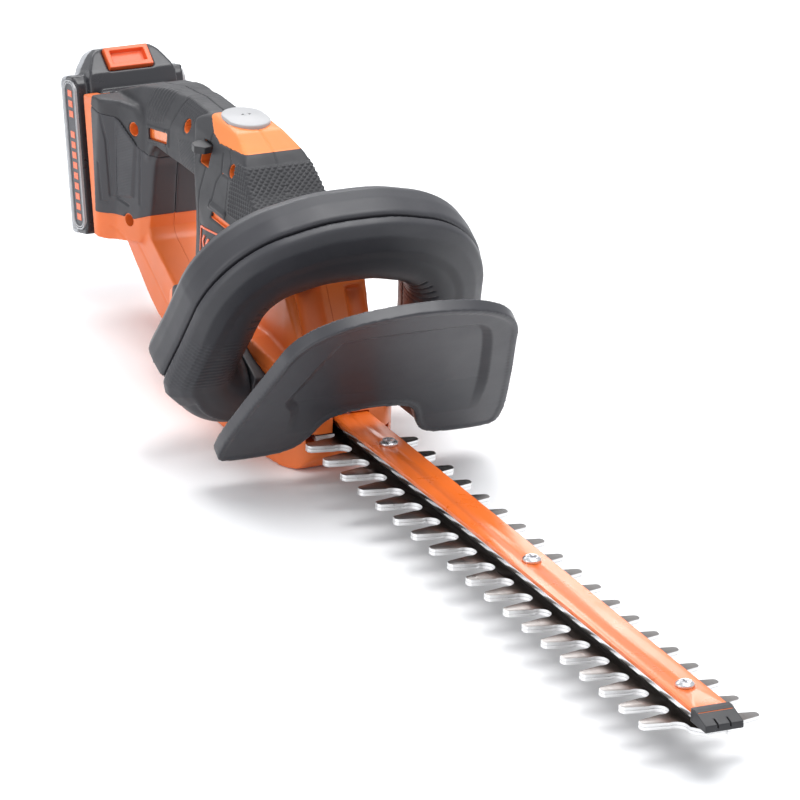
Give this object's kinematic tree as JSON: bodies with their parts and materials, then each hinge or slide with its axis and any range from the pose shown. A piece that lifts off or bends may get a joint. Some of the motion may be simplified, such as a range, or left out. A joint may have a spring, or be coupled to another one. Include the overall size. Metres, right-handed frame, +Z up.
{
  "type": "cordless hedge trimmer",
  "caption": "Cordless hedge trimmer with a double-sided reciprocating blade, a shield, a front bail handle with a switch bar, a rear grip with a trigger and a slide-on battery.",
  "frame": {"origin": "centre of the flat foot under the gear housing, on the ground", "axes": "+Z up, blade towards -Y, battery towards +Y, +X to the right seen from the blade's tip"},
  "size_m": [0.2044, 0.8243, 0.1685],
  "materials": {
    "orange_housing": "satin moulded orange",
    "dark_plastic": "fine textured charcoal",
    "soft_grip": "moulded soft grip with knurl and dots",
    "top_cap": "satin orange",
    "silver_button": "satin silver",
    "guard_plastic": "satin charcoal",
    "bar_paint": "gloss orange paint",
    "rail_steel": "ground steel",
    "blade_steel": "laser-cut steel with ground edges",
    "dark_steel": "blackened steel",
    "screw_steel": "zinc plated",
    "spring_steel": "spring wire",
    "gear_steel": "hobbed steel",
    "gear_case": "die cast",
    "motor_can": "drawn steel",
    "winding": "enamelled copper and laminations",
    "board_green": "solder mask",
    "black_plastic": "black",
    "battery_black": "satin black",
    "battery_shell": "light grey",
    "battery_bezel": "silver line",
    "label": "dark strip",
    "cell": "shrink sleeve",
    "red_orange": "moulded orange-red",
    "window": "orange window"
  },
  "bodies": {
    "housing": {"housing_left": "orange_housing", "housing_right": "orange_housing", "side_cover_left": "dark_plastic", "side_cover_right": "dark_plastic", "grip_cover_left": "soft_grip", "grip_cover_right": "soft_grip", "hump_cover": "soft_grip", "top_cap": "top_cap", "boost_switch": "black_plastic", "trigger_pin": "screw_steel", "trigger_switch": "black_plastic", "status_window": "window", "housing_screws": "screw_steel", "gear_case_lower": "gear_case", "gear_case_upper": "gear_case", "gear_bearings": "gear_steel", "motor_can": "motor_can", "motor_bearings": "gear_steel", "control_board": "board_green", "guide_bar": "bar_paint", "steel_rail": "rail_steel", "bar_spacer": "dark_steel", "blade_bushes": "screw_steel", "blade_screws": "screw_steel", "blade_nuts": "screw_steel", "bar_root_screws": "screw_steel", "tip_cap": "black_plastic", "guard": "guard_plastic", "guard_screws": "screw_steel", "bail_handle_front": "dark_plastic", "bail_handle_rear": "dark_plastic", "bail_switch": "black_plastic", "bail_brackets": "dark_plastic", "bail_screws": "screw_steel", "bail_root_screws": "screw_steel", "terminal_block": "black_plastic", "bail_springs": "spring_steel", "boost_spring": "spring_steel", "lock_off_spring": "spring_steel", "trigger_spring": "spring_steel"},
    "upper_blade": {"upper_blade": "blade_steel"},
    "lower_blade": {"lower_blade": "blade_steel"},
    "drive_gear": {"drive_gear": "gear_steel", "gear_shaft": "screw_steel"},
    "rotor": {"motor_rotor": "winding", "pinion": "gear_steel", "cooling_fan": "black_plastic"},
    "switch_bar": {"bail_switch_bar": "dark_plastic"},
    "trigger": {"trigger": "red_orange"},
    "lock_off_lever": {"lock_off_lever": "black_plastic"},
    "boost_button": {"boost_button": "silver_button"},
    "battery": {"battery_case": "battery_black", "battery_tray": "battery_shell", "battery_bezels": "battery_bezel", "battery_labels": "label", "battery_cells": "cell", "battery_board": "board_green", "battery_spring": "spring_steel"},
    "battery_button": {"battery_button": "red_orange"}
  },
  "joints": [
    {"name": "upper_blade_slide", "type": "slide", "parent": "housing", "child": "upper_blade", "axis": [0, 1, 0], "range_m": [-0.008, 0.008]},
    {"name": "lower_blade_slide", "type": "slide", "parent": "housing", "child": "lower_blade", "axis": [0, 1, 0], "range_m": [-0.008, 0.008]},
    {"name": "gear_spin", "type": "hinge", "parent": "housing", "child": "drive_gear", "pos_m": [0, 0.022, 0.04], "axis": [0, 0, 1], "continuous": true},
    {"name": "rotor_spin", "type": "hinge", "parent": "housing", "child": "rotor", "pos_m": [0, 0.0616, 0.08], "axis": [0, 0, 1], "continuous": true},
    {"name": "switch_bar_press", "type": "slide", "parent": "housing", "child": "switch_bar", "axis": [0, 0.4067, -0.9135], "range_m": [0, 0.0025], "stiffness_N_per_m": 1500, "springref_m": -0.004, "deforming": ["bail_springs"]},
    {"name": "trigger_pull", "type": "hinge", "parent": "housing", "child": "trigger", "pos_m": [0, 0.136, 0.129], "axis": [1, 0, 0], "range_deg": [0, 6], "stiffness_Nm_per_rad": 2, "springref_deg": -5.73, "deforming": ["trigger_spring"]},
    {"name": "lock_off_press", "type": "slide", "parent": "housing", "child": "lock_off_lever", "axis": [0, 0, -1], "range_m": [0, 0.006], "stiffness_N_per_m": 300, "springref_m": -0.003, "deforming": ["lock_off_spring"]},
    {"name": "boost_press", "type": "slide", "parent": "housing", "child": "boost_button", "axis": [0, 0, -1], "range_m": [0, 0.002], "stiffness_N_per_m": 800, "springref_m": -0.002, "deforming": ["boost_spring"]},
    {"name": "battery_slide", "type": "slide", "parent": "housing", "child": "battery", "axis": [0, 0.2588, 0.9659], "range_m": [0, 0.085]},
    {"name": "battery_release", "type": "slide", "parent": "battery", "child": "battery_button", "axis": [0, 0.5736, -0.8192], "range_m": [0, 0.0025], "stiffness_N_per_m": 800, "springref_m": -0.002, "deforming": ["battery_spring"]}
  ],
  "couplings": [
    {"joint": "lower_blade_slide", "follows": "upper_blade_slide", "ratio": -1},
    {"joint": "rotor_spin", "follows": "gear_spin", "ratio": -4.5}
  ]
}
